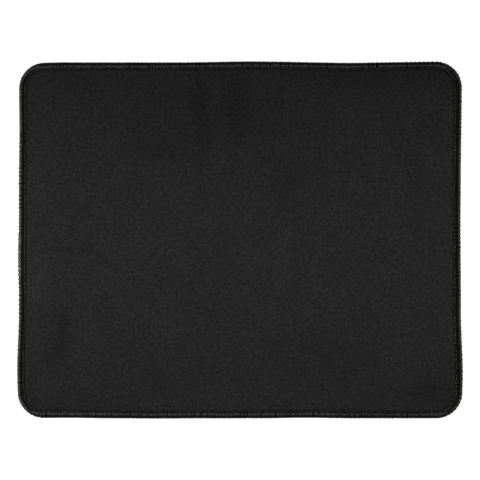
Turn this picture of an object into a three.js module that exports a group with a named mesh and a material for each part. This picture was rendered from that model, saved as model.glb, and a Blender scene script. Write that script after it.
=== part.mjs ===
// A cloth mouse pad with an overlocked edge, in millimetres, +Z up.
// The origin is the middle of the underside. +X runs along the long side and +Y towards the top of the pad.
import * as THREE from 'three';

// The pad, over its edging
const padWidth = 260;
const padDepth = 209.4;
const cornerRadius = 15;

// The three sheets that are laminated, from the desk up
const baseThickness = 2.4;
const filmThickness = 0.1;
const clothThickness = 0.5;

// The edge, from the outside in: each step of its section, as far as it reaches along the pad
const lipInset = 1; // the edging stands this far beyond the cut edge of the sheets
const crownReach = 1.4; // from the cut edge to the crown of the bead
const needleReach = 1.7; // from the crown to the needle line
const shoulderReach = 1.5; // from the needle line up to the shoulder
const fieldReach = 1.8; // from the shoulder to the flat field

// How far the stitching draws the upper side down, as shares of the pad's thickness
const shoulderDipShare = 0.067;
const needleDipShare = 0.24;
const crownDipShare = 0.075;
const lipRoundShare = 0.12; // how much more the cut edge is rounded, above and below
const shoulderLiftShare = 0.25; // of the lift that makes room for the thread underneath

// The threads
const stitchPitch = 2.28; // along the outside of the edging
const looperThickness = 0.42;
const looperFold = 0.26; // the looper loops, pressed flat where the needle thread holds them
const foldReach = 0.45; // how far those loops reach past the needle line
const legRelief = 0.2; // how deep the hollow between two stitches is
const needleThreadWidth = 0.55;
const needleThreadHeight = 0.4;
const needleHoleDrop = 0.18; // how much lower the needle thread lies where it enters the cloth
const seatGap = 0.06; // between a thread and what it lies on
const purlGap = 0.1; // between the two looper threads, along the edge

// The small drift of a hand-guided edge: place along the edge, reach either way, and height.
// The first two are shares of the way round, clockwise from the joint, and the last of the drift.
const edgeDrift = 1.15;
const driftShares = [
    { atShare: 0.005, reachShare: 0.025, heightShare: 0.22 },
    { atShare: 0.09, reachShare: 0.035, heightShare: -0.27 },
    { atShare: 0.13, reachShare: 0.024, heightShare: -0.33 },
    { atShare: 0.277, reachShare: 0.048, heightShare: 0.5 },
    { atShare: 0.338, reachShare: 0.028, heightShare: -0.24 },
    { atShare: 0.412, reachShare: 0.065, heightShare: 0.48 },
    { atShare: 0.508, reachShare: 0.05, heightShare: -0.19 },
    { atShare: 0.604, reachShare: 0.04, heightShare: 0.96 },
    { atShare: 0.726, reachShare: 0.032, heightShare: -0.27 },
    { atShare: 0.82, reachShare: 0.03, heightShare: 0.12 },
    { atShare: 0.882, reachShare: 0.036, heightShare: -0.26 },
    { atShare: 0.935, reachShare: 0.038, heightShare: 0.86 },
];

// Where the stitching starts and ends, as a share of the left side from its middle, towards the top
const jointShare = -0.092;

// How many facets the plain lines have, and how much closer they stand near the corners
const facetsPerSide = 14;
const facetsPerCorner = 10;
const crowdingShare = 0.35;

// The colour and roughness of each material
const clothFinish = { color: 0x232323, roughness: 0.92 };
const filmFinish = { color: 0xb9b6ad, roughness: 0.5 };
const rubberFinish = { color: 0x1b1b1b, roughness: 0.85 };
const looperFinish = { color: 0x2c2c2a, roughness: 0.6 };
const needleFinish = { color: 0x31312f, roughness: 0.55 };

const fieldHeight = baseThickness + filmThickness + clothThickness;
const crownInset = lipInset + crownReach;
const needleInset = crownInset + needleReach;
const shoulderInset = needleInset + shoulderReach;
const fieldInset = shoulderInset + fieldReach;
const quarterTurn = Math.PI / 2;

// The four runs of the edge, clockwise: each is a side and the corner after it.
const runs = [
    { heading: quarterTurn, length: padDepth - 2 * cornerRadius },
    { heading: 0, length: padWidth - 2 * cornerRadius },
    { heading: -quarterTurn, length: padDepth - 2 * cornerRadius },
    { heading: -2 * quarterTurn, length: padWidth - 2 * cornerRadius },
];
const cornerLength = cornerRadius * quarterTurn;
const edgeLength = runs.reduce((sum, run) => sum + run.length + cornerLength, 0);
const jointRun = runs[0].length * (0.5 + jointShare);

// How far the edge stands out at a share of the way round
function driftAt(share) {
    let out = 0;
    for (const bump of driftShares) {
        const apart = share - bump.atShare;
        const away = Math.abs(apart - Math.round(apart)) / bump.reachShare;
        if (away < 1) {
            out += edgeDrift * bump.heightShare * (1 + Math.cos(Math.PI * away)) / 2;
        }
    }
    return out;
}

// A point of the line that lies inset from the outside, at a share of the way round from the joint.
// Its corners are never quite sharp.
function edgePoint(share, inset) {
    const radius = Math.max(cornerRadius - inset, seatGap);
    const pivotX = padWidth / 2 - inset - radius;
    const pivotY = padDepth / 2 - inset - radius;
    let run = (share * edgeLength + jointRun) % edgeLength;
    let index = 0;
    while (run > runs[index].length + cornerLength && index < runs.length - 1) {
        run -= runs[index].length + cornerLength;
        index += 1;
    }
    const along = Math.min(run / runs[index].length, 1);
    const turned = Math.max(run - runs[index].length, 0) / cornerLength;
    const outward = runs[index].heading + quarterTurn * (1 - turned);
    const forward = runs[index].heading;
    const straight = index % 2 === 0 ? pivotY : pivotX;
    const across = index % 2 === 0 ? pivotX : pivotY;
    const pivot = new THREE.Vector2(
        Math.cos(forward) * straight * (2 * along - 1) - Math.sin(forward) * across,
        Math.sin(forward) * straight * (2 * along - 1) + Math.cos(forward) * across,
    );
    const reach = radius + driftAt(share);
    return pivot.add(new THREE.Vector2(Math.cos(outward), Math.sin(outward)).multiplyScalar(reach));
}

// The shares of the way round at which the plain lines have a point
function plainShares() {
    const shares = [];
    let start = -jointRun;
    for (const run of runs) {
        for (let i = 0; i < facetsPerSide; i += 1) {
            const along = i / facetsPerSide;
            const crowded = along - crowdingShare * Math.sin(2 * Math.PI * along) / (2 * Math.PI);
            shares.push((start + run.length * crowded) / edgeLength);
        }
        start += run.length;
        for (let i = 0; i < facetsPerCorner; i += 1) {
            shares.push((start + cornerLength * i / facetsPerCorner) / edgeLength);
        }
        start += cornerLength;
    }
    return shares.map((share) => (share + 1) % 1).sort((a, b) => a - b);
}

// Two points a stitch: the middle of its legs, and the hollow before the next one
const stitchCount = Math.round(edgeLength / stitchPitch);
const sheetShares = plainShares();
const stitchShares = Array.from({ length: 2 * stitchCount }, (_, i) => i / (2 * stitchCount));

// A closed line round the pad at an inset and a height
function plainLine(inset, height) {
    return sheetShares.map((share) => ({ share, place: lift(edgePoint(share, inset), height) }));
}

// The same with ribs: a hollow lies deeper inwards and lower or higher than the stitches beside it
function ribbedLine(inset, height, hollowInset, hollowRise) {
    return stitchShares.map((share, i) => {
        const hollow = i % 2;
        const place = lift(edgePoint(share, inset + hollow * hollowInset), height + hollow * hollowRise);
        return { share, place };
    });
}

function lift(point, height) {
    return new THREE.Vector3(point.x, point.y, height);
}

// The middle of the outline, which the whole pad is moved by
const outline = new THREE.Box2().setFromPoints(stitchShares.map((share) => edgePoint(share, 0)));
const middle = outline.getCenter(new THREE.Vector2());

// The band of triangles between two closed lines, which may have different numbers of points
function addBand(corners, from, to, facesBack = false) {
    let i = 0;
    let j = 0;
    while (i < from.length || j < to.length) {
        const a = from[i % from.length].place;
        const b = to[j % to.length].place;
        const onward = nextShare(from, i) <= nextShare(to, j);
        i += onward ? 1 : 0;
        j += onward ? 0 : 1;
        const c = onward ? from[i % from.length].place : to[j % to.length].place;
        corners.push(a, ...(facesBack ? [b, c] : [c, b]));
    }
}

// The share of the way round at which a line has its next point
function nextShare(line, index) {
    if (index >= line.length) {
        return Infinity;
    }
    return index + 1 < line.length ? line[index + 1].share : 1;
}

// The flat face inside a closed line, facing up or down
function addField(corners, line, facesUp) {
    const contour = line.map((point) => new THREE.Vector2(point.place.x, point.place.y));
    for (const [a, b, c] of THREE.ShapeUtils.triangulateShape(contour, [])) {
        const upward = THREE.ShapeUtils.area([contour[a], contour[b], contour[c]]) > 0;
        const face = upward === facesUp ? [a, b, c] : [a, c, b];
        corners.push(...face.map((index) => line[index].place));
    }
}

function solid(corners) {
    const geometry = new THREE.BufferGeometry().setFromPoints(corners);
    geometry.computeVertexNormals();
    return geometry;
}

// A ring whose section is the given lines, in order
function ringSolid(lines) {
    const corners = [];
    lines.forEach((line, i) => addBand(corners, line, lines[(i + 1) % lines.length]));
    return solid(corners);
}

// A sheet between two surfaces, each a list of lines from its flat field out to its cut edge
function sheetSolid(upperLines, lowerLines) {
    const corners = [];
    const last = upperLines.length - 1;
    for (let i = 0; i < last; i += 1) {
        addBand(corners, upperLines[i], upperLines[i + 1]);
        addBand(corners, lowerLines[i], lowerLines[i + 1], true);
    }
    addBand(corners, upperLines[last], lowerLines[last]);
    addField(corners, upperLines[0], true);
    addField(corners, lowerLines[0], false);
    return solid(corners);
}

// How far the upper side dips, and the underside lifts, from the field out to the cut edge
const threadLift = looperThickness + seatGap;
const lipRound = fieldHeight * lipRoundShare;
const upperProfile = [
    { inset: fieldInset, change: 0 },
    { inset: shoulderInset, change: fieldHeight * shoulderDipShare },
    { inset: needleInset, change: fieldHeight * needleDipShare },
    { inset: crownInset, change: fieldHeight * crownDipShare },
    { inset: lipInset, change: fieldHeight * crownDipShare + lipRound },
];
const lowerProfile = [
    { inset: fieldInset, change: 0 },
    { inset: shoulderInset, change: threadLift * shoulderLiftShare },
    { inset: needleInset, change: threadLift },
    { inset: crownInset, change: threadLift },
    { inset: lipInset, change: threadLift + lipRound },
];

// The change at any inset between the profile's own
function changeAt(profile, inset) {
    let i = 1;
    while (i < profile.length - 1 && profile[i].inset > inset) {
        i += 1;
    }
    const outer = profile[i];
    const inner = profile[i - 1];
    const part = (inner.inset - inset) / (inner.inset - outer.inset);
    return inner.change + (outer.change - inner.change) * Math.min(part, 1);
}

// The lines of the surface that lies at a depth under the face of the cloth
function surfaceAt(depth) {
    return upperProfile.map((at) => plainLine(at.inset, fieldHeight - at.change - depth));
}

function topCloth() {
    return sheetSolid(surfaceAt(0), surfaceAt(clothThickness));
}

function bondingFilm() {
    return sheetSolid(surfaceAt(clothThickness), surfaceAt(clothThickness + filmThickness));
}

function rubberBase() {
    const underside = lowerProfile.map((at) => plainLine(at.inset, at.change));
    return sheetSolid(surfaceAt(clothThickness + filmThickness), underside);
}

// The heights of the threads' seats on the cloth and under the rubber
const upperSeat = (inset) => fieldHeight - changeAt(upperProfile, inset) + seatGap;
const lowerSeat = (inset) => changeAt(lowerProfile, inset) - seatGap;
const foldInset = needleInset + foldReach;
const riseInset = needleInset - foldReach;
const edgeInset = lipInset - seatGap;
const purlHeight = (upperSeat(lipInset) + lowerSeat(lipInset)) / 2;

// The upper looper thread: loops flat under the needle thread, legs over the crown, down to the purl
function upperLooperThread() {
    const crownHeight = upperSeat(crownInset) + looperThickness;
    const purlFoot = purlHeight + purlGap / 2;
    return ringSolid([
        plainLine(foldInset, upperSeat(foldInset)),
        plainLine(foldInset, upperSeat(foldInset) + looperFold),
        plainLine(riseInset, upperSeat(needleInset) + looperFold),
        ribbedLine((crownInset + riseInset) / 2, crownHeight - legRelief / 2, 0, -legRelief),
        ribbedLine((crownInset + lipInset) / 2, crownHeight, 0, -legRelief),
        ribbedLine(0, (crownHeight + purlFoot) / 2 - legRelief, legRelief, 0),
        plainLine(legRelief, purlFoot),
        plainLine(edgeInset, purlFoot),
        plainLine(edgeInset, upperSeat(lipInset)),
        plainLine(crownInset, upperSeat(crownInset)),
        plainLine(needleInset, upperSeat(needleInset)),
    ]);
}

// The lower looper thread: the same on the underside, pressed flat where it meets the desk
function lowerLooperThread() {
    const purlFoot = purlHeight - purlGap / 2;
    return ringSolid([
        plainLine(needleInset, lowerSeat(needleInset)),
        plainLine(crownInset, lowerSeat(crownInset)),
        plainLine(edgeInset, lowerSeat(lipInset)),
        plainLine(edgeInset, purlFoot),
        plainLine(legRelief, purlFoot),
        ribbedLine(0, purlFoot / 2 + legRelief, legRelief, 0),
        plainLine((crownInset + lipInset) / 2, 0),
        plainLine((crownInset + riseInset) / 2, 0),
        plainLine(riseInset, lowerSeat(needleInset) - looperFold),
        plainLine(foldInset, lowerSeat(foldInset) - looperFold),
        plainLine(foldInset, lowerSeat(foldInset)),
    ]);
}

// The needle thread: a line of stitches on the loops, low where it enters the cloth
function needleThread() {
    const seat = (inset) => {
        const part = (foldInset - inset) / (foldInset - riseInset);
        const slope = upperSeat(needleInset) - upperSeat(foldInset);
        return upperSeat(foldInset) + slope * part + looperFold + seatGap;
    };
    const halfThread = needleThreadWidth / 2;
    return ringSolid([
        plainLine(needleInset + halfThread, seat(needleInset + halfThread)),
        ribbedLine(needleInset, seat(needleInset) + needleThreadHeight, 0, -needleHoleDrop),
        plainLine(needleInset - halfThread, seat(needleInset - halfThread)),
    ]);
}

function named(name, geometry, finish) {
    const mesh = new THREE.Mesh(geometry, new THREE.MeshStandardMaterial({ ...finish, metalness: 0 }));
    mesh.name = name;
    return mesh;
}

const mousePad = new THREE.Group();
mousePad.add(
    named('rubber_base', rubberBase(), rubberFinish),
    named('bonding_film', bondingFilm(), filmFinish),
    named('top_cloth', topCloth(), clothFinish),
    named('lower_looper_thread', lowerLooperThread(), looperFinish),
    named('upper_looper_thread', upperLooperThread(), looperFinish),
    named('needle_thread', needleThread(), needleFinish),
);
mousePad.position.set(-middle.x, -middle.y, 0);

export default mousePad;
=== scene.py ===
import math
import bpy
import numpy as np
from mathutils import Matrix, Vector


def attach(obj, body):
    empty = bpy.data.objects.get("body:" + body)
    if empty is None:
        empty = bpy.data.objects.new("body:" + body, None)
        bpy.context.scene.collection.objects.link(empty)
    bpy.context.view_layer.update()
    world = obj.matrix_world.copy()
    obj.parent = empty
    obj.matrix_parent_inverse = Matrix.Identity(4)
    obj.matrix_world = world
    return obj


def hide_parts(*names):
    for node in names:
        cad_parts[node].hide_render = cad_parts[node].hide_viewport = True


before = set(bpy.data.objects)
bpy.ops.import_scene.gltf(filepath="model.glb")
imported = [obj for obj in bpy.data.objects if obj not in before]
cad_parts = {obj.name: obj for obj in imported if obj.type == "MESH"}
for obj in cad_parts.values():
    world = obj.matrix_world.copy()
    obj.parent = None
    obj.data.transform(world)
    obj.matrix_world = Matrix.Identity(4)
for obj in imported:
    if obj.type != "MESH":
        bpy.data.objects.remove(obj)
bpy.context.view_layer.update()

# A stitched cloth mouse pad: three laminated sheets and the three yarns of an overlocked edge.
mm = 0.001
bpy.ops.object.select_all(action="DESELECT")

camera = {
    "frameWidth": 281.9 * mm,  # what the picture takes in, across, at the level of the edge
    "level": 1.5 * mm,
    "lens": 150.0,
    "sensor": 36.0,
    "clip": (0.05, 20.0),
}


def makeCamera():
    data = bpy.data.cameras.new("camera")
    data.lens = camera["lens"]
    data.sensor_width = camera["sensor"]
    data.clip_start, data.clip_end = camera["clip"]
    view = bpy.data.objects.new("camera", data)
    bpy.context.scene.collection.objects.link(view)
    distance = camera["frameWidth"] * camera["lens"] / camera["sensor"]
    view.location = (0.0, 0.0, camera["level"] + distance)
    bpy.context.scene.camera = view
    print("camera", round(distance, 3), "m above the edge")


makeCamera()

# The same outline as the frame's: rounded corners, and the small drift of a hand-guided edge.
outline = {
    "width": 260.0 * mm,
    "depth": 209.4 * mm,
    "cornerRadius": 15.0 * mm,
    "sharpestCorner": 0.01 * mm,  # what is left of the radius far inside
    "stitches": 400,
    "jointShare": -0.092,  # where the stitching starts, on the left side, from its middle
    "drift": 1.15 * mm,
    "bumps": (  # share of the way round, reach either way, height
        (0.005, 0.025, 0.22), (0.09, 0.035, -0.27), (0.13, 0.024, -0.33), (0.277, 0.048, 0.5),
        (0.338, 0.028, -0.24), (0.412, 0.065, 0.48), (0.508, 0.05, -0.19), (0.604, 0.04, 0.96),
        (0.726, 0.032, -0.27), (0.82, 0.03, 0.12), (0.882, 0.036, -0.26), (0.935, 0.038, 0.86),
    ),
    # how far the hand gets ahead of an even spacing: waves round the pad, stitches, start
    "pace": ((3, 0.8, 0.4), (7, 0.45, 2.1), (13, 0.3, 1.3), (29, 0.14, 5.2)),
    "paceSteps": 6,  # steps that find the stitch at a place
    "samples": 800,  # points that measure the outline
}
cornerLength = outline["cornerRadius"] * math.pi / 2
straightWidth = outline["width"] - 2 * outline["cornerRadius"]
straightDepth = outline["depth"] - 2 * outline["cornerRadius"]
sideLengths = [straightDepth, straightWidth, straightDepth, straightWidth]  # left, top, right, bottom
edgeLength = sum(sideLengths) + 4 * cornerLength
jointRun = sideLengths[0] * (0.5 + outline["jointShare"])
stitchLength = edgeLength / outline["stitches"]


def driftAt(share):
    out = np.zeros_like(share)
    for at, reach, height in outline["bumps"]:
        away = np.abs((share - at) - np.round(share - at)) / reach
        out += np.where(away < 1, height * (1 + np.cos(np.pi * away)) / 2, 0)
    return out * outline["drift"]


# Points inset from the outside, at shares of the way round (clockwise), and the way out from each
def edgePoints(share, inset):
    share, inset = np.broadcast_arrays(np.asarray(share, float), np.asarray(inset, float))
    radius = np.maximum(outline["cornerRadius"] - inset, outline["sharpestCorner"])
    pivotX = outline["width"] / 2 - inset - radius
    pivotY = outline["depth"] / 2 - inset - radius
    run = (share * edgeLength + jointRun) % edgeLength
    starts = np.cumsum([0.0] + [length + cornerLength for length in sideLengths[:3]])
    index = np.searchsorted(starts, run, side="right") - 1
    run = run - starts[index]
    length = np.array(sideLengths)[index]
    along = np.minimum(run / length, 1)
    turned = np.maximum(run - length, 0) / cornerLength
    heading = np.pi / 2 * (1 - index)
    outward = heading + np.pi / 2 * (1 - turned)
    straight = np.where(index % 2 == 0, pivotY, pivotX) * (2 * along - 1)
    across = np.where(index % 2 == 0, pivotX, pivotY)
    reach = radius + driftAt(share % 1.0)
    x = np.cos(heading) * straight - np.sin(heading) * across + np.cos(outward) * reach
    y = np.sin(heading) * straight + np.cos(heading) * across + np.sin(outward) * reach
    return np.stack([x, y], -1), np.stack([np.cos(outward), np.sin(outward)], -1)


def shareAt(stitch):
    ahead = np.zeros_like(stitch)
    for waves, height, start in outline["pace"]:
        ahead += height * np.sin(2 * np.pi * waves * stitch / outline["stitches"] + start)
    return (stitch + ahead) / outline["stitches"]


def stitchAt(share):
    even = share * outline["stitches"]
    stitch = even
    for _ in range(outline["paceSteps"]):
        stitch = stitch + even - shareAt(stitch) * outline["stitches"]
    return stitch


outlinePoints, _ = edgePoints(np.arange(outline["samples"]) / outline["samples"], 0.0)
middle = (outlinePoints.min(0) + outlinePoints.max(0)) / 2


def placed(share, inset):
    points, outward = edgePoints(share, inset)
    return points - middle, outward


def makePiece(name, corners, faces):
    mesh = bpy.data.meshes.new(name)
    mesh.from_pydata([tuple(corner) for corner in corners], [], faces)
    mesh.update()
    mesh.polygons.foreach_set("use_smooth", [True] * len(mesh.polygons))
    piece = bpy.data.objects.new(name, mesh)
    bpy.context.scene.collection.objects.link(piece)
    return piece


# Shares of the way round of a ring's points, about as far apart as the spacing says
def ringShares(inset, spacing):
    shares = []
    start = -jointRun
    radius = max(outline["cornerRadius"] - inset, 0)
    turns = max(1, math.ceil(radius * math.pi / 2 / spacing))
    for length in sideLengths:
        pieces = round(length / spacing)
        shares += [(start + length * i / pieces) / edgeLength for i in range(pieces)]
        start += length
        if radius > 0:
            shares += [(start + cornerLength * i / turns) / edgeLength for i in range(turns)]
        start += cornerLength
    return shares


# A surface over the whole pad: a grid inside, and rings out to the cut edge.
# Each ring is an inset and its points: a number round the edge, or None for the grid's own spacing.
class Surface:
    def __init__(self, spacing, rings, height, facesUp):
        self.corners = []
        self.insets = []
        self.faces = []
        self.facesUp = facesUp
        self.height = height
        ring = self.addGrid(spacing)
        for inset, count in rings:
            shares = ringShares(inset, spacing) if count is None else np.arange(count) / count
            outer = self.addRing(inset, shares)
            self.faces += bandFaces(ring, outer, facesUp)
            ring = outer
        self.rim = ring

    def addPoints(self, points, share, inset):
        first = len(self.corners)
        heights = self.height(points, share, inset)
        self.corners += [(x, y, z) for (x, y), z in zip(points, heights)]
        self.insets += list(inset)
        return np.arange(first, first + len(points))

    # The grid's sides lie on the outline where its corners have come to a point
    def addGrid(self, spacing):
        inset = outline["cornerRadius"]
        counts = [round(length / spacing) for length in sideLengths]
        shares = []
        start = -jointRun
        for length, count in zip(sideLengths, counts):
            shares.append((start + length * np.arange(count + 1) / count) / edgeLength)
            start += length + cornerLength
        borders = [placed(share, inset)[0] for share in shares]
        for side in range(4):  # two borders meet in one corner, whatever their drift
            last, first = borders[side - 1], borders[side]
            corner = (last[-1][0], first[0][1]) if side % 2 else (first[0][0], last[-1][1])
            last[-1] = first[0] = corner
        left, top, right, bottom = borders
        u = np.linspace(0, 1, counts[1] + 1)[:, None, None]
        v = np.linspace(0, 1, counts[0] + 1)[None, :, None]
        low, high = bottom[::-1], top
        near, far = left, right[::-1]
        grid = (1 - v) * low[:, None] + v * high[:, None] + (1 - u) * near[None] + u * far[None]
        # both pairs of sides have counted the corners, so one share of them comes off
        corners = (1 - u) * (1 - v) * low[0] + u * (1 - v) * low[-1]
        grid -= corners + (1 - u) * v * high[0] + u * v * high[-1]
        columns, rows = grid.shape[:2]
        flat = grid.reshape(-1, 2)
        index = self.addPoints(flat, np.zeros(len(flat)), np.full(len(flat), inset))
        index = index.reshape(columns, rows)
        for i in range(columns - 1):
            for j in range(rows - 1):
                face = (index[i, j], index[i + 1, j], index[i + 1, j + 1], index[i, j + 1])
                self.faces.append(face if self.facesUp else face[::-1])
        border = [index[0, :-1], index[:-1, -1], index[-1, :0:-1], index[:0:-1, 0]]
        halfCorner = cornerLength / edgeLength / 2
        borderShares = [np.append(share[0] - halfCorner, share[1:-1]) for share in shares]
        return self.sortedRing(np.concatenate(border), np.concatenate(borderShares))

    def addRing(self, inset, shares):
        shares = np.asarray(shares, float)
        points, _ = placed(shares, inset)
        return self.sortedRing(self.addPoints(points, shares, np.full(len(shares), inset)), shares)

    def sortedRing(self, index, shares):
        shares = np.asarray(shares) % 1.0
        order = np.argsort(shares)
        return index[order], shares[order]


# Faces between two closed rings, whose points may differ in number
def bandFaces(inner, outer, facesUp):
    faces = []
    (a, aShares), (b, bShares) = inner, outer
    aNext = np.append(aShares[1:], 1 + aShares[0])
    bNext = np.append(bShares[1:], 1 + bShares[0])
    i = j = 0
    while i < len(a) or j < len(b):
        onward = j >= len(b) or (i < len(a) and aNext[i] <= bNext[j])
        here, there = a[i % len(a)], b[j % len(b)]
        if onward:
            i += 1
            face = (here, a[i % len(a)], there)
        else:
            j += 1
            face = (here, b[j % len(b)], there)
        faces.append(face if facesUp else face[::-1])
    return faces


# A closed sheet between an upper and a lower surface
def makeSheet(name, upper, lower):
    shift = len(upper.corners)
    corners = upper.corners + lower.corners
    faces = list(upper.faces) + [tuple(index + shift for index in face) for face in lower.faces]
    lowerRim = (lower.rim[0] + shift, lower.rim[1])
    faces += bandFaces(upper.rim, lowerRim, True)
    faces = [tuple(int(index) for index in face) for face in faces]
    return makePiece(name, corners, faces)


# The layers near the edge: how far the stitching pulls the upper side down, and the underside up
section = {
    "insets": np.array([1.0, 1.6, 2.4, 3.1, 3.5, 3.9, 4.3, 4.9, 5.7, 7.4]) * mm,
    "dips": np.array([0.79, 0.41, 0.225, 0.33, 0.6, 0.74, 0.52, 0.16, 0.04, 0.0]) * mm,
    "lifts": np.array([0.84, 0.55, 0.48, 0.48, 0.48, 0.48, 0.44, 0.3, 0.11, 0.0]) * mm,
    "needleLine": 4.1 * mm,
    "baseThickness": 2.4 * mm,
    "filmThickness": 0.1 * mm,
    "clothThickness": 0.5 * mm,
}
fieldHeight = section["baseThickness"] + section["filmThickness"] + section["clothThickness"]


# A smooth curve through the section's points, flat at the field
def sectionCurve(inset, values):
    at = section["insets"]
    slopes = np.gradient(values, at)
    slopes[-1] = 0.0
    inset = np.clip(inset, at[0], at[-1])
    i = np.clip(np.searchsorted(at, inset, side="right") - 1, 0, len(at) - 2)
    step = at[i + 1] - at[i]
    t = (inset - at[i]) / step
    low = (1 + 2 * t) * (1 - t) ** 2 * values[i] + t * (1 - t) ** 2 * step * slopes[i]
    return low + t * t * (3 - 2 * t) * values[i + 1] + t * t * (t - 1) * step * slopes[i + 1]


ringInsets = {  # in millimetres, from the grid outwards
    "plain": (13.0, 11.0, 9.0, 7.4),
    "coarse": (6.5, 5.6, 4.9, 4.3, 3.8, 3.4, 3.0, 2.4, 1.6, 1.0),
    "fine": (6.6, 5.9, 5.4, 5.0, 4.6, 4.2, 3.9, 3.6, 3.3, 3.0, 2.4, 1.8, 1.3, 1.0),
}
faceCloth = {
    "gridSpacing": 1.6 * mm,
    "pointsPerStitch": 5,
    "waveHeight": 0.05 * mm,
    "waves": (  # length, how much of it runs along x and y, and where it starts
        (61 * mm, 1.0, 0.4, 0.0), (43 * mm, -0.3, 1.0, 1.0), (97 * mm, 1.0, -0.8, 2.0),
    ),
    "waveReach": (4.5 * mm, 10 * mm),  # the waves fade out here, towards the edge
    "pucker": 0.07 * mm,  # how far the cloth gathers at each needle hole
    "puckerReach": 1.1 * mm,
    "pressed": 0.72,  # painted shade in the groove along the stitching, partly the pile that the stitching presses flat: how much darker the cloth is there
    "pressedReach": (4.2 * mm, 5.2 * mm),
}
foamBase = {
    "gridSpacing": 0.9 * mm,
    "innerSpacing": 2.0 * mm,
    "reliefPitch": 4.5 * mm,
    "reliefDepth": 0.16 * mm,
    "reliefBorder": (8.5 * mm, 12.0 * mm),
    # the edge that stands out between the threads: inset, and how much thinner either side is
    "bulge": ((0.8 * mm, 0.06 * mm), (0.48 * mm, 0.3 * mm)),
}


def fade(value, low, high):
    t = np.clip((value - low) / (high - low), 0, 1)
    return t * t * (3 - 2 * t)


def clothFace(points, share, inset):
    x, y = points[:, 0], points[:, 1]
    waves = faceCloth["waves"]
    wave = sum(np.sin(2 * np.pi * (x * a + y * b) / length + start) for length, a, b, start in waves)
    lie = faceCloth["waveHeight"] * wave / len(waves) * fade(inset, *faceCloth["waveReach"])
    gather = np.cos(2 * np.pi * stitchAt(share))
    gather *= np.exp(-((inset - section["needleLine"]) / faceCloth["puckerReach"]) ** 2)
    return fieldHeight - sectionCurve(inset, section["dips"]) + lie - faceCloth["pucker"] * gather


def layerAt(depth):
    return lambda points, share, inset: fieldHeight - depth - sectionCurve(inset, section["dips"])


def foamTaper(inset):
    insets, tapers = np.array(foamBase["bulge"]).T
    return np.interp(inset, [*insets[::-1], section["insets"][0]], [*tapers[::-1], 0.0])


def foamTop(points, share, inset):
    depth = section["clothThickness"] + section["filmThickness"]
    return layerAt(depth)(points, share, inset) - foamTaper(inset)


def foamUnderside(points, share, inset):
    x, y = points[:, 0], points[:, 1]
    turn = 2 * np.pi / foamBase["reliefPitch"]
    pattern = (1 - np.cos(turn * x) * np.cos(turn * y)) / 2
    hollow = pattern * fade(borderDistance(points), *foamBase["reliefBorder"])
    return sectionCurve(inset, section["lifts"]) + foamBase["reliefDepth"] * hollow + foamTaper(inset)


# How far a point lies from the outside, near enough for the border of the relief
def borderDistance(points):
    sideX = outline["width"] / 2 - np.abs(points[:, 0])
    sideY = outline["depth"] / 2 - np.abs(points[:, 1])
    return np.minimum(sideX, sideY)


def coarseRings():
    return [(inset * mm, None) for inset in ringInsets["plain"] + ringInsets["coarse"]]


def makeFaceCloth():
    count = outline["stitches"] * faceCloth["pointsPerStitch"]
    rings = [(inset * mm, None) for inset in ringInsets["plain"]]
    rings += [(inset * mm, count) for inset in ringInsets["fine"]]
    upper = Surface(faceCloth["gridSpacing"], rings, clothFace, True)
    under = layerAt(section["clothThickness"])
    lower = Surface(faceCloth["gridSpacing"], coarseRings(), under, False)
    piece = makeSheet("face_cloth", upper, lower)
    insets = np.array(upper.insets + lower.insets)
    # how much darker each point is: painted shade in the groove along the stitching, partly flattened
    # pile, fading out inwards
    values = faceCloth["pressed"] * (1 - fade(insets, *faceCloth["pressedReach"]))
    pressed = piece.data.attributes.new("pressed", "FLOAT", "POINT")
    pressed.data.foreach_set("value", values)
    return piece


def makeBondingFilm():
    spacing = foamBase["innerSpacing"]
    depth = section["clothThickness"]
    upper = Surface(spacing, coarseRings(), layerAt(depth), True)
    lower = Surface(spacing, coarseRings(), layerAt(depth + section["filmThickness"]), False)
    return makeSheet("hot_melt_film", upper, lower)


def makeFoamBase():
    rings = coarseRings() + [(inset, None) for inset, _ in foamBase["bulge"]]
    upper = Surface(foamBase["innerSpacing"], rings, foamTop, True)
    lower = Surface(foamBase["gridSpacing"], rings, foamUnderside, False)
    return makeSheet("foam_base", upper, lower)


# A stitch is a row of stations: along (in stitches), then inset, height, half width and half
# thickness (in millimetres), and lean, the way that the yarn's flat side faces: 90 up, 0 outwards,
# -90 down.
upperYarn = {
    "uneven": 1.0,
    "rings": 28,
    "sides": 8,
    "stations": (
        (0.00, 4.36, 2.47, 0.15, 0.15, 90),
        (0.06, 4.29, 2.46, 0.15, 0.15, 90),
        (0.10, 4.08, 2.41, 0.17, 0.15, 90),
        (0.14, 3.98, 2.41, 0.20, 0.15, 98),
        (0.17, 3.86, 2.58, 0.26, 0.17, 124),
        (0.20, 3.62, 2.82, 0.33, 0.19, 126),
        (0.22, 3.34, 2.98, 0.39, 0.21, 104),
        (0.24, 2.76, 3.05, 0.42, 0.22, 90),
        (0.24, 1.84, 3.00, 0.40, 0.22, 80),
        (0.25, 1.24, 2.68, 0.43, 0.22, 57),
        (0.25, 0.75, 2.20, 0.48, 0.22, 40),
        (0.26, 0.54, 1.83, 0.48, 0.22, 26),
        (0.31, 0.42, 1.52, 0.42, 0.23, 10),
        (0.40, 0.26, 1.40, 0.31, 0.29, 0),
        (0.50, 0.20, 1.36, 0.29, 0.31, 0),
    ),
}
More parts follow.
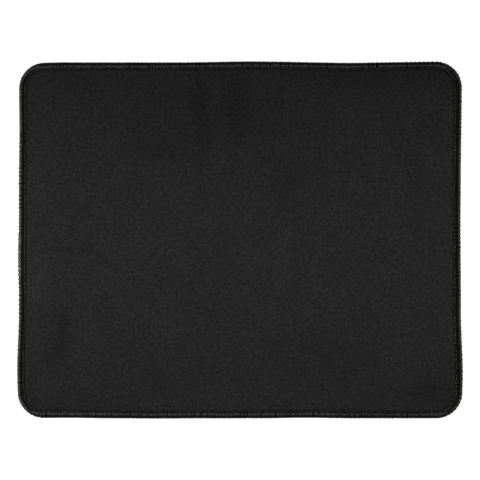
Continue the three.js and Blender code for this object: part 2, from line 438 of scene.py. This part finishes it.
lowerYarn = {
    "uneven": 1.0,
    "rings": 24,
    "sides": 8,
    "stations": (
        (0.00, 0.54, 1.80, 0.30, 0.25, 0),
        (0.10, 0.54, 1.76, 0.32, 0.25, 0),
        (0.19, 0.54, 1.56, 0.42, 0.22, 0),
        (0.24, 0.52, 1.24, 0.54, 0.20, -8),
        (0.25, 0.62, 0.88, 0.57, 0.20, -28),
        (0.25, 0.92, 0.50, 0.57, 0.20, -52),
        (0.25, 1.45, 0.27, 0.56, 0.20, -78),
        (0.25, 2.20, 0.21, 0.55, 0.19, -90),
        (0.25, 3.00, 0.21, 0.52, 0.19, -90),
        (0.24, 3.70, 0.23, 0.44, 0.17, -90),
        (0.24, 4.20, 0.25, 0.34, 0.13, -90),
        (0.30, 4.52, 0.22, 0.28, 0.12, -90),
        (0.50, 4.58, 0.20, 0.26, 0.12, -90),
    ),
}
needleYarn = {
    "uneven": 1.4,
    "rings": 30,
    "sides": 8,
    "stations": (
        (0.05, 4.12, 1.30, 0.13, 0.13, 0),
        (0.09, 4.12, 1.85, 0.15, 0.16, 0),
        (0.18, 4.11, 2.24, 0.17, 0.18, 0),
        (0.27, 4.06, 2.58, 0.26, 0.23, 0),
        (0.38, 4.00, 2.76, 0.33, 0.30, 0),
        (0.50, 3.99, 2.80, 0.35, 0.32, 0),
        (0.62, 4.00, 2.76, 0.33, 0.30, 0),
        (0.73, 4.06, 2.58, 0.26, 0.23, 0),
        (0.82, 4.11, 2.24, 0.17, 0.18, 0),
        (0.91, 4.12, 1.85, 0.15, 0.16, 0),
        (0.95, 4.12, 1.30, 0.13, 0.13, 0),
        (0.93, 4.14, 0.50, 0.10, 0.12, 0),
        (0.78, 4.14, 0.22, 0.09, 0.13, 0),
        (0.88, 4.14, 0.14, 0.075, 0.14, 0),
        (1.12, 4.14, 0.14, 0.075, 0.14, 0),
        (1.22, 4.14, 0.22, 0.09, 0.13, 0),
        (1.07, 4.14, 0.50, 0.10, 0.12, 0),
    ),
}
stitching = {
    "firstStitch": -3,  # the stitching starts here and ends past its start, so it overlaps
    "lastStitch": 408,
    "overlapRise": 0.2 * mm,
    "overlapShift": 0.23,  # in stitches
    "overlapLead": 2,  # the yarn begins to rise so many stitches before the overlap
    "overlapRun": 3,  # and has risen after so many
    "sway": 0.085,  # unevenness of each leg: its place, in stitches
    "swell": 0.12,  # its width, as a share
    "tuck": 0.025,  # its inset, as a share
    "lift": 0.045 * mm,
    "tilt": 0.14,
    "mostUneven": 2,  # no leg strays further than so many times that
    "tightThins": 0.55,  # how much thinner the legs' inner ends are where the yarn is tight
    "tightLowers": 0.1 * mm,
    "tightReach": (2.3 * mm, 3.3 * mm),
    "tightLean": 45,  # only where the yarn faces up more than this
    "curveSteps": 16,  # steps on the curve from one station to the next
    "seed": 7,
}


# The stations of a stitch and its mirror image, as one course from edge to edge
def mirrored(stations, about):
    back = [(2 * about - row[0],) + tuple(row[1:]) for row in stations[::-1]]
    return list(stations) + back[1:-1]


# Rings along a smooth curve through the stations, which repeats after each stitch
def stitchCourse(stations, rings):
    rows = np.array(stations, float)
    count = len(rows)
    step = np.zeros(rows.shape[1])
    step[0] = 1.0
    fine = []
    for i in range(count):
        a, b, c, d = [rows[(i + k) % count] + step * ((i + k) // count) for k in (-1, 0, 1, 2)]
        t = np.linspace(0, 1, stitching["curveSteps"], endpoint=False)[:, None]
        square = a - 2.5 * b + 2 * c - d / 2
        cube = 1.5 * (b - c) + (d - a) / 2
        fine.append(b + (c - a) * t / 2 + square * t**2 + cube * t**3)
    fine = np.concatenate(fine + [rows[:1] + step])
    place = fine[:, :3] * np.array([stitchLength / mm, 1, 1])
    run = np.concatenate([[0], np.cumsum(np.linalg.norm(np.diff(place, axis=0), axis=1))])
    run = run / run[-1] + np.linspace(0, 1, len(run))  # closer together where the stations are
    at = np.arange(rings) / rings * run[-1]
    return np.stack([np.interp(at, run, column) for column in fine.T], -1)


# A tube along a path, with its flat side facing the given way, closed at both ends.
# In its map, u is millimetres along the yarn and v turns once round it.
def makeTube(name, path, facing, halfWidth, halfThickness, sides):
    along = np.gradient(path, axis=0)
    along /= np.linalg.norm(along, axis=1)[:, None]
    out = facing - along * (facing * along).sum(1)[:, None]
    out /= np.linalg.norm(out, axis=1)[:, None]
    side = np.cross(along, out)
    angle = np.arange(sides) / sides * 2 * np.pi
    ring = out[:, None] * (halfThickness[:, None] * np.cos(angle))[..., None]
    ring = ring + side[:, None] * (halfWidth[:, None] * np.sin(angle))[..., None]
    corners = (path[:, None] + ring).reshape(-1, 3)
    faces = []
    count = len(path)
    for i in range(count - 1):
        for j in range(sides):
            k = (j + 1) % sides
            faces.append((i * sides + j, i * sides + k, (i + 1) * sides + k, (i + 1) * sides + j))
    faces.append(tuple(range(sides - 1, -1, -1)))
    faces.append(tuple((count - 1) * sides + j for j in range(sides)))
    piece = makePiece(name, corners, faces)
    run = np.concatenate([[0], np.cumsum(np.linalg.norm(np.diff(path, axis=0), axis=1))]) / mm
    u = np.stack([run[:-1], run[:-1], run[1:], run[1:]], -1)[:, None].repeat(sides, 1)
    v = np.arange(sides)[:, None] / sides + np.array([0, 1, 1, 0]) / sides
    uv = np.stack([u, np.broadcast_to(v, u.shape)], -1).reshape(-1, 2)
    ends = np.zeros((2 * sides, 2))
    layer = piece.data.uv_layers.new(name="yarn")
    layer.data.foreach_set("uv", np.concatenate([uv, ends]).ravel())
    return piece


def makeYarn(name, yarn, stations, shift):
    course = stitchCourse(stations, yarn["rings"])
    stitches = np.arange(stitching["firstStitch"], stitching["lastStitch"])
    rows = np.tile(course, (len(stitches), 1))
    position = rows[:, 0] + np.repeat(stitches, yarn["rings"])
    draw = np.random.default_rng(stitching["seed"] + shift)
    legs = stitches[0] + 0.25 + 0.5 * np.arange(2 * len(stitches))  # two in each stitch
    most = stitching["mostUneven"]
    uneven = []
    for key in ("sway", "swell", "tuck", "lift", "tilt"):
        drawn = np.clip(draw.normal(0, 1, len(legs)), -most, most)
        uneven.append(yarn["uneven"] * stitching[key] * np.interp(position, legs, drawn))
    sway, swell, tuck, lift, tilt = uneven
    inset = rows[:, 1] * mm * (1 + tuck)
    lean = np.radians(rows[:, 5])
    upward = np.clip(np.sin(lean), 0, 1)
    lapStart = outline["stitches"] + stitching["firstStitch"] - stitching["overlapLead"]
    lapped = fade(position, lapStart, lapStart + stitching["overlapRun"])
    share = shareAt(position + sway + lapped * stitching["overlapShift"]) % 1.0
    points, outward = placed(share, inset)
    forward = np.column_stack([outward[:, 1], -outward[:, 0]])
    sideways = outward * np.cos(lean)[:, None] + forward * (tilt * upward)[:, None]
    facing = np.column_stack([sideways, np.sin(lean)])
    tight = (1 - np.cos(2 * np.pi * share)) / 2 * fade(inset, *stitching["tightReach"])
    tight = tight * (rows[:, 5] > stitching["tightLean"])
    path = np.column_stack([points, rows[:, 2] * mm - stitching["tightLowers"] * tight])
    rise = lapped * stitching["overlapRise"] * np.clip(1 + np.sin(lean), 0, 1)
    rise = rise + lift * upward
    path = path + facing * rise[:, None]
    width = rows[:, 3] * mm * (1 + swell) * (1 - stitching["tightThins"] * tight)
    return makeTube(name, path, facing, width, rows[:, 4] * mm, yarn["sides"])


# The frayed end of the yarn where the stitching starts: a few fine fibres laid across the bead
yarnEnd = {
    "fibres": 9,
    "points": 12,
    "thickness": 0.09 * mm,
    "shortest": 0.7,  # as a share of the longest
    "spread": 0.26 * mm,
    "stray": 0.5,
    "layers": 3,  # how many fibres lie on each other
    "insets": (0.12, 0.35, 0.7, 1.1, 1.5, 1.8),  # the bead's upper side, in millimetres
    "heights": (1.9, 2.35, 2.75, 3.05, 3.2, 3.28),
    "seed": 4,
}


def makeYarnEnd():
    draw = np.random.default_rng(yarnEnd["seed"])
    paths = []
    for _ in range(yarnEnd["fibres"]):
        reach = draw.uniform(yarnEnd["shortest"], 1.0)
        t = np.linspace(0, reach, yarnEnd["points"]) * (len(yarnEnd["insets"]) - 1)
        inset = np.interp(t, range(len(yarnEnd["insets"])), yarnEnd["insets"]) * mm
        height = np.interp(t, range(len(yarnEnd["heights"])), yarnEnd["heights"]) * mm
        start, turn = draw.normal(0, yarnEnd["stray"]), draw.normal(0, yarnEnd["stray"])
        along = yarnEnd["spread"] * (start + turn * t / t[-1])
        points, _ = placed(along / edgeLength, inset)
        lift = yarnEnd["thickness"] * draw.uniform(0, yarnEnd["layers"])
        paths.append(np.column_stack([points, height + lift]))
    curve = bpy.data.curves.new("yarn_end", "CURVE")
    curve.dimensions = "3D"
    curve.bevel_depth = yarnEnd["thickness"] / 2
    curve.bevel_resolution = 1
    curve.use_fill_caps = True
    for path in paths:
        spline = curve.splines.new("POLY")
        spline.points.add(len(path) - 1)
        spline.points.foreach_set("co", np.column_stack([path, np.ones(len(path))]).ravel())
    piece = bpy.data.objects.new("yarn_end", curve)
    bpy.context.scene.collection.objects.link(piece)
    bpy.context.view_layer.objects.active = piece
    piece.select_set(True)
    bpy.ops.object.convert(target="MESH")
    bpy.ops.object.shade_smooth()
    piece.select_set(False)
    return piece


def setInput(tree, socket, value):
    if isinstance(value, bpy.types.NodeSocket):
        tree.links.new(value, socket)
    else:
        socket.default_value = value


def addNode(tree, kind, inputs=None, **settings):
    node = tree.nodes.new(kind)
    for key, value in settings.items():
        setattr(node, key, value)
    for key, value in (inputs or {}).items():
        setInput(tree, node.inputs[key], value)
    return node


def calculate(tree, operation, *values):
    node = tree.nodes.new("ShaderNodeMath")
    node.operation = operation
    for socket, value in zip(node.inputs, values):
        setInput(tree, socket, value)
    return node.outputs[0]


def newGroup(name, inputs, outputs):
    group = bpy.data.node_groups.new(name, "ShaderNodeTree")
    for socket, kind, value in inputs:
        item = group.interface.new_socket(socket, in_out="INPUT", socket_type=kind)
        if value is not None:
            item.default_value = value
    for socket, kind in outputs:
        group.interface.new_socket(socket, in_out="OUTPUT", socket_type=kind)
    return group, group.nodes.new("NodeGroupInput").outputs, group.nodes.new("NodeGroupOutput").inputs


def useGroup(tree, group, inputs):
    node = tree.nodes.new("ShaderNodeGroup")
    node.node_tree = group
    for key, value in inputs.items():
        setInput(tree, node.inputs[key], value)
    return node.outputs


# Even mottling about 1: a factor for colour or roughness
def mottleGroup():
    group, given, result = newGroup(
        "mottle",
        [("Vector", "NodeSocketVector", None), ("Size", "NodeSocketFloat", 0.001),
         ("Amount", "NodeSocketFloat", 0.1), ("Detail", "NodeSocketFloat", 3.0)],
        [("Factor", "NodeSocketFloat")],
    )
    scale = calculate(group, "DIVIDE", 1.0, given["Size"])
    noise = addNode(group, "ShaderNodeTexNoise", {
        "Vector": given["Vector"], "Scale": scale, "Detail": given["Detail"]})
    centred = calculate(group, "SUBTRACT", noise.outputs["Fac"], 0.5)
    fullSwing = calculate(group, "MULTIPLY", centred, 4.0)  # the noise strays about a quarter
    factor = calculate(group, "MULTIPLY_ADD", fullSwing, given["Amount"], 1.0)
    group.links.new(factor, result["Factor"])
    return group


# A place moved about by soft noise, so that rows and borders wander
def wandering(tree, place, size, reach, detail):
    noise = addNode(tree, "ShaderNodeTexNoise", {"Vector": place, "Scale": 1 / size, "Detail": detail})
    centred = addNode(tree, "ShaderNodeVectorMath", {
        0: noise.outputs["Color"], 1: (0.5, 0.5, 0.5)}, operation="SUBTRACT")
    shift = addNode(tree, "ShaderNodeVectorMath", {
        0: centred.outputs[0], "Scale": reach}, operation="SCALE")
    moved = addNode(tree, "ShaderNodeVectorMath", {0: place, 1: shift.outputs[0]}, operation="ADD")
    return moved.outputs[0]


knit = {
    "wander": (3.1 * mm, 0.4 * mm, 2.0),  # size, reach and detail of what bends the rows
    "lean": 1.3,  # how steep the legs of each V are, in courses to a wale
    "legPower": 0.6,  # the lower, the flatter on top
    "rowPower": 0.5,
}


# Rows of small V-shaped loops, as on the face of a fine knit
def knitGroup():
    group, given, result = newGroup(
        "knit loops",
        [("Vector", "NodeSocketVector", None), ("Wale", "NodeSocketFloat", 0.00055),
         ("Course", "NodeSocketFloat", 0.00045)],
        [("Height", "NodeSocketFloat")],
    )
    place = wandering(group, given["Vector"], *knit["wander"])
    split = addNode(group, "ShaderNodeSeparateXYZ", {"Vector": place})
    across = calculate(group, "DIVIDE", split.outputs["X"], given["Wale"])
    along = calculate(group, "DIVIDE", split.outputs["Y"], given["Course"])
    halfWale = calculate(group, "FRACT", calculate(group, "MULTIPLY", across, 2.0))
    leg = calculate(group, "SINE", calculate(group, "MULTIPLY", halfWale, math.pi))
    fromMiddle = calculate(group, "SUBTRACT", calculate(group, "FRACT", across), 0.5)
    lean = calculate(group, "ABSOLUTE", fromMiddle)
    row = calculate(group, "FRACT", calculate(group, "MULTIPLY_ADD", lean, knit["lean"], along))
    rowShape = calculate(group, "SINE", calculate(group, "MULTIPLY", row, math.pi))
    legHeight = calculate(group, "POWER", leg, knit["legPower"])
    rowHeight = calculate(group, "POWER", rowShape, knit["rowPower"])
    height = calculate(group, "MULTIPLY", legHeight, rowHeight)
    group.links.new(height, result["Height"])
    return group


# Fine filaments that run along a yarn with a slight twist, on the map that makeTube gives it
def filamentGroup():
    group, given, result = newGroup(
        "filaments",
        [("Vector", "NodeSocketVector", None), ("Twist", "NodeSocketFloat", 0.15),
         ("Strands", "NodeSocketFloat", 5.0), ("Breaks", "NodeSocketFloat", 1.1)],
        [("Height", "NodeSocketFloat")],
    )
    split = addNode(group, "ShaderNodeSeparateXYZ", {"Vector": given["Vector"]})
    turned = calculate(group, "MULTIPLY_ADD", split.outputs["X"], given["Twist"], split.outputs["Y"])
    angle = calculate(group, "MULTIPLY", turned, 2 * math.pi)
    x = calculate(group, "MULTIPLY", calculate(group, "COSINE", angle), given["Strands"])
    y = calculate(group, "MULTIPLY", calculate(group, "SINE", angle), given["Strands"])
    z = calculate(group, "MULTIPLY", split.outputs["X"], given["Breaks"])
    joined = addNode(group, "ShaderNodeCombineXYZ", {"X": x, "Y": y, "Z": z})
    noise = addNode(group, "ShaderNodeTexNoise", {
        "Vector": joined.outputs[0], "Scale": 1.0, "Detail": 3.0})
    group.links.new(noise.outputs["Fac"], result["Height"])
    return group


napAndShadeMarks = {
    "wander": (12 * mm, 7 * mm, 3.0),  # size, reach and detail of what moves the borders
    "fade": 1.5,  # how far out an oval reaches, in its own half lengths
    "ovals": (  # x, y and half lengths in millimetres, turn in degrees, and how much darker
        (-22.9, 68.0, 6.0, 34.0, 0, 0.18),
        (-2.0, 81.0, 8.5, 24.0, 4, 0.21),
        (-20.0, 78.0, 75.0, 36.0, 0, 0.13),
        (-48.0, 52.0, 24.0, 7.0, -4, 0.12),
        (-104.0, -55.0, 5.5, 12.0, -14, 0.25),
        (-104.5, -43.0, 5.5, 8.0, 0, 0.18),
        (-108.5, -67.5, 7.0, 6.0, 30, 0.23),
        (-104.0, -6.0, 7.0, 3.0, 0, 0.18),
        (-94.0, -6.2, 12.0, 2.2, -8, 0.13),
        (-77.0, -13.2, 9.0, 2.0, -30, 0.18),
        (27.5, 37.0, 12.0, 20.0, 0, 0.13),
        (50.0, -64.0, 26.0, 12.0, -12, 0.10),
        (102.6, 39.0, 7.0, 15.0, 0, 0.11),
        (114.0, -89.0, 18.0, 9.0, 12, 0.18),
        (-47.3, -87.3, 7.0, 4.0, 0, 0.11),
        (80.0, 97.0, 50.0, 11.0, 0, 0.22),
        (-119.0, -24.0, 7.0, 14.0, 0, -0.25),
        (-116.0, 50.0, 9.0, 32.0, 0, -0.09),
        (-111.0, -86.0, 11.0, 8.0, 0, -0.12),
        (-5.0, -92.0, 60.0, 10.0, 0, -0.08),
    ),
}


# Places where the cloth is darker or lighter: soft ovals with uneven borders, partly brushed marks in
# the pile and partly painted shade and light where the light falls off across the pad
def napAndShadeGroup():
    group, given, result = newGroup(
        "pile marks and painted shade", [("Vector", "NodeSocketVector", None)], [("Factor", "NodeSocketFloat")])
    place = wandering(group, given["Vector"], *napAndShadeMarks["wander"])
    factor = 1.0
    for x, y, reachX, reachY, turn, depth in napAndShadeMarks["ovals"]:
        oval = addNode(group, "ShaderNodeMapping", {
            "Vector": place,
            "Location": (x * mm, y * mm, 0),
            "Rotation": (0, 0, math.radians(turn)),
            "Scale": (reachX * mm, reachY * mm, 1),
        }, vector_type="TEXTURE")
        away = addNode(group, "ShaderNodeVectorMath", {0: oval.outputs[0]}, operation="LENGTH")
        mark = addNode(group, "ShaderNodeMapRange", {
            "Value": away.outputs["Value"],
            "From Max": napAndShadeMarks["fade"],
            "To Min": 1 - depth,
            "To Max": 1.0,
        }, interpolation_type="SMOOTHSTEP")
        factor = calculate(group, "MULTIPLY", mark.outputs["Result"], factor)
    group.links.new(factor, result["Factor"])
    return group


mottle = mottleGroup()
napAndShade = napAndShadeGroup()
knitLoops = knitGroup()
filaments = filamentGroup()
print("shader groups ready")


def newMaterial(name):
    material = bpy.data.materials.new(name)
    material.use_nodes = True
    tree = material.node_tree
    shader = tree.nodes["Principled BSDF"]
    return material, tree, shader


def mottled(tree, place, size, amount, detail):
    inputs = {"Vector": place, "Size": size, "Amount": amount, "Detail": detail}
    return useGroup(tree, mottle, inputs)["Factor"]


# A colour times a factor that varies
def tint(tree, shader, colour, factor):
    node = addNode(tree, "ShaderNodeMix", data_type="RGBA", blend_type="MULTIPLY")
    setInput(tree, node.inputs["Factor"], 1.0)
    setInput(tree, node.inputs["A"], (*colour, 1.0))
    setInput(tree, node.inputs["B"], factor)
    tree.links.new(node.outputs["Result"], shader.inputs["Base Color"])


def emboss(tree, shader, height, depth):
    bump = addNode(tree, "ShaderNodeBump", {"Height": height, "Distance": depth, "Strength": 1.0})
    tree.links.new(bump.outputs["Normal"], shader.inputs["Normal"])


clothFinish = {
    "colour": (0.0252, 0.0251, 0.0249),
    "roughness": 0.95,
    "specular": 0.0,
    "sheen": 0.06,
    "sheenRoughness": 0.4,
    "wale": 0.56 * mm,
    "course": 0.44 * mm,
    "loopDepth": 0.05 * mm,
    "loopPaintedShade": (0.5, 0.65),  # painted light and shade of the loops: how much lighter their tops are painted, and the painted shade between them
    "grain": (1.4 * mm, 0.52, 4.0),  # size, amount and detail of the mottling
    "patches": (17 * mm, 0.075, 4.0),
}


def clothMaterial():
    material, tree, shader = newMaterial("black knit")
    finish = clothFinish
    place = addNode(tree, "ShaderNodeTexCoord").outputs["Object"]
    loops = useGroup(tree, knitLoops, {
        "Vector": place, "Wale": finish["wale"], "Course": finish["course"]})["Height"]
    grain = mottled(tree, place, *finish["grain"])
    patches = mottled(tree, place, *finish["patches"])
    # darker and lighter ovals: partly pile marks, partly painted shade and light across the pad
    marks = useGroup(tree, napAndShade, {"Vector": place})["Factor"]
    # painted shade in the groove along the stitching, partly flattened pile
    pressed = addNode(tree, "ShaderNodeAttribute", attribute_name="pressed").outputs["Fac"]
    # the loops' tops painted lighter and the hollows between them painted darker: painted light and
    # shade
    shade = calculate(tree, "MULTIPLY_ADD", loops, *finish["loopPaintedShade"])
    shade = calculate(tree, "MULTIPLY", shade, calculate(tree, "SUBTRACT", 1.0, pressed))
    shade = calculate(tree, "MULTIPLY", shade, marks)
    factor = calculate(tree, "MULTIPLY", calculate(tree, "MULTIPLY", grain, patches), shade)
    tint(tree, shader, finish["colour"], factor)
    emboss(tree, shader, loops, finish["loopDepth"])
    shader.inputs["Roughness"].default_value = finish["roughness"]
    shader.inputs["Specular IOR Level"].default_value = finish["specular"]
    shader.inputs["Sheen Weight"].default_value = finish["sheen"]
    shader.inputs["Sheen Roughness"].default_value = finish["sheenRoughness"]
    return material


foamFinish = {
    "colour": (0.012, 0.012, 0.012),
    "roughness": 0.85,
    "specular": 0.35,
    "poreSize": 0.35 * mm,
    "poreDepth": 0.03 * mm,
    "grain": (6 * mm, 0.15, 5.0),  # size, amount and detail
}


def foamMaterial():
    material, tree, shader = newMaterial("black rubber foam")
    finish = foamFinish
    place = addNode(tree, "ShaderNodeTexCoord").outputs["Object"]
    pores = addNode(tree, "ShaderNodeTexVoronoi", {"Vector": place, "Scale": 1 / finish["poreSize"]})
    grain = mottled(tree, place, *finish["grain"])
    tint(tree, shader, finish["colour"], grain)
    emboss(tree, shader, pores.outputs["Distance"], finish["poreDepth"])
    roughness = calculate(tree, "MULTIPLY", grain, finish["roughness"])
    tree.links.new(roughness, shader.inputs["Roughness"])
    shader.inputs["Specular IOR Level"].default_value = finish["specular"]
    return material


filmFinish = {"colour": (0.48, 0.47, 0.43), "roughness": 0.5, "grain": (2 * mm, 0.1, 3.0)}


def filmMaterial():
    material, tree, shader = newMaterial("milky film")
    finish = filmFinish
    place = addNode(tree, "ShaderNodeTexCoord").outputs["Object"]
    tint(tree, shader, finish["colour"], mottled(tree, place, *finish["grain"]))
    shader.inputs["Roughness"].default_value = finish["roughness"]
    return material


fibreFinish = {"colour": (0.42, 0.42, 0.41), "roughness": 0.6}


def fibreMaterial():
    material, tree, shader = newMaterial("frayed fibres")
    shader.inputs["Base Color"].default_value = (*fibreFinish["colour"], 1.0)
    shader.inputs["Roughness"].default_value = fibreFinish["roughness"]
    return material


bothYarns = {
    "tint": (0.98, 1.0, 0.86),  # of the shine
    "shineTurn": 0.25,  # the shine spreads across the filaments
    "filamentDepth": 0.03 * mm,
    "filamentPaintedShade": (1.4, 0.3),  # painted light and shade of the filaments: how much lighter their tops are painted, and the painted shade between them
    "grain": (2.5 * mm, 0.2, 3.0),  # size, amount and detail
}
edgeFinish = {
    "colour": (0.0032, 0.0032, 0.0026),
    "roughness": 0.5,
    "specular": 0.34,
    "anisotropy": 0.4,
    "twist": 0.16,
    "strands": 5.0,
}
needleFinish = {
    "colour": (0.012, 0.012, 0.0107),
    "roughness": 0.56,
    "specular": 0.42,
    "anisotropy": 0.6,
    "twist": 0.9,
    "strands": 2.5,
}


def yarnMaterial(name, finish):
    material, tree, shader = newMaterial(name)
    place = addNode(tree, "ShaderNodeTexCoord").outputs["Object"]
    yarnMap = addNode(tree, "ShaderNodeUVMap", uv_map="yarn").outputs["UV"]
    height = useGroup(tree, filaments, {
        "Vector": yarnMap, "Twist": finish["twist"], "Strands": finish["strands"]})["Height"]
    grain = mottled(tree, place, *bothYarns["grain"])
    # the filaments' tops painted lighter and the grooves between them painted darker: painted light
    # and shade
    shade = calculate(tree, "MULTIPLY_ADD", height, *bothYarns["filamentPaintedShade"])
    tint(tree, shader, finish["colour"], calculate(tree, "MULTIPLY", grain, shade))
    emboss(tree, shader, height, bothYarns["filamentDepth"])
    tangent = addNode(tree, "ShaderNodeTangent", direction_type="UV_MAP", uv_map="yarn")
    tree.links.new(tangent.outputs[0], shader.inputs["Tangent"])
    shader.inputs["Roughness"].default_value = finish["roughness"]
    shader.inputs["Specular IOR Level"].default_value = finish["specular"]
    shader.inputs["Specular Tint"].default_value = (*bothYarns["tint"], 1.0)
    shader.inputs["Anisotropic"].default_value = finish["anisotropy"]
    shader.inputs["Anisotropic Rotation"].default_value = bothYarns["shineTurn"]
    return material


def finishPiece(piece, material, slot, *nodes):
    piece.data.materials.append(material)
    if nodes:
        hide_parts(*nodes)
    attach(piece, "root")
    print(piece.name, len(piece.data.polygons), "faces")


cloth = makeFaceCloth()
finishPiece(cloth, clothMaterial(), "face_cloth", "top_cloth")
film = makeBondingFilm()
finishPiece(film, filmMaterial(), "bonding_film", "bonding_film")
foam = makeFoamBase()
finishPiece(foam, foamMaterial(), "base_rubber", "rubber_base")
edgeMaterial = yarnMaterial("black edge yarn", edgeFinish)
upper = makeYarn("upper_looper_yarn", upperYarn, mirrored(upperYarn["stations"], 0.5), 0)
finishPiece(upper, edgeMaterial, "edge_thread", "upper_looper_thread")
lower = makeYarn("lower_looper_yarn", lowerYarn, mirrored(lowerYarn["stations"], 0.5), 1)
finishPiece(lower, edgeMaterial, "edge_thread", "lower_looper_thread")
needle = makeYarn("needle_yarn", needleYarn, needleYarn["stations"], 2)
finishPiece(needle, yarnMaterial("black needle yarn", needleFinish), "needle_thread", "needle_thread")
finishPiece(makeYarnEnd(), fibreMaterial(), "edge_thread")

studio = {
    "floorSize": 16.0,
    "floorDrop": 0.05 * mm,
    "floorColour": 0.4,
    "floorGlow": (0.94, 1.0),  # what the camera sees added near the pad and further out
    "glowReach": (0.13, 0.3),
    "roomLight": 0.05,
    "aim": (0.0, -0.018, 0.0),
    "beam": 32.0,  # degrees
    "lamps": (  # place, size, watts
        ((-0.95, -0.02, 0.25), (0.18, 0.3), 0.74),
        ((0.95, -0.02, 0.25), (0.18, 0.3), 0.42),
    ),
}


# 1 for what the camera sees, straight or through something clear, and 0 for light on the pad
def seenByCamera(tree):
    path = addNode(tree, "ShaderNodeLightPath").outputs
    return calculate(tree, "MAXIMUM", path["Is Camera Ray"], path["Is Transmission Ray"])


def makeFloor():
    bpy.ops.mesh.primitive_plane_add(size=studio["floorSize"], location=(0, 0, -studio["floorDrop"]))
    floor = bpy.context.object
    floor.name = "floor"
    material = bpy.data.materials.new("white floor")
    material.use_nodes = True
    tree = material.node_tree
    tree.nodes.clear()
    place = addNode(tree, "ShaderNodeTexCoord").outputs["Object"]
    distance = addNode(tree, "ShaderNodeVectorMath", {0: place}, operation="LENGTH").outputs["Value"]
    spread = addNode(tree, "ShaderNodeMapRange", {
        "Value": distance, "From Min": studio["glowReach"][0], "From Max": studio["glowReach"][1],
        "To Min": studio["floorGlow"][0], "To Max": studio["floorGlow"][1]}).outputs["Result"]
    strength = calculate(tree, "MULTIPLY", seenByCamera(tree), spread)
    grey = studio["floorColour"]
    matt = addNode(tree, "ShaderNodeBsdfDiffuse", {"Color": (grey, grey, grey, 1)})
    glow = addNode(tree, "ShaderNodeEmission", {"Strength": strength})
    both = addNode(tree, "ShaderNodeAddShader", {0: matt.outputs[0], 1: glow.outputs[0]})
    clear = addNode(tree, "ShaderNodeBsdfTransparent")
    back = addNode(tree, "ShaderNodeNewGeometry").outputs["Backfacing"]
    mixed = addNode(tree, "ShaderNodeMixShader", {0: back, 1: both.outputs[0], 2: clear.outputs[0]})
    addNode(tree, "ShaderNodeOutputMaterial", {"Surface": mixed.outputs[0]})
    floor.data.materials.append(material)


def makeRoom():
    world = bpy.data.worlds.new("room")
    bpy.context.scene.world = world
    world.use_nodes = True
    tree = world.node_tree
    tree.nodes.clear()
    strength = calculate(tree, "MAXIMUM", seenByCamera(tree), studio["roomLight"])
    sky = addNode(tree, "ShaderNodeBackground", {"Color": (1, 1, 1, 1), "Strength": strength})
    addNode(tree, "ShaderNodeOutputWorld", {"Surface": sky.outputs[0]})


def makeLamps():
    for number, (place, size, watts) in enumerate(studio["lamps"]):
        data = bpy.data.lights.new(f"softbox{number}", "AREA")
        data.shape = "RECTANGLE"
        data.size, data.size_y = size
        data.energy = watts
        data.spread = math.radians(studio["beam"])
        lamp = bpy.data.objects.new(data.name, data)
        bpy.context.scene.collection.objects.link(lamp)
        lamp.location = place
        lamp.rotation_mode = "QUATERNION"
        aim = Vector(studio["aim"]) - lamp.location
        lamp.rotation_quaternion = aim.to_track_quat("-Z", "Y")


makeFloor()
makeRoom()
makeLamps()
print("studio ready")

bpy.context.scene.view_settings.view_transform = "Standard"
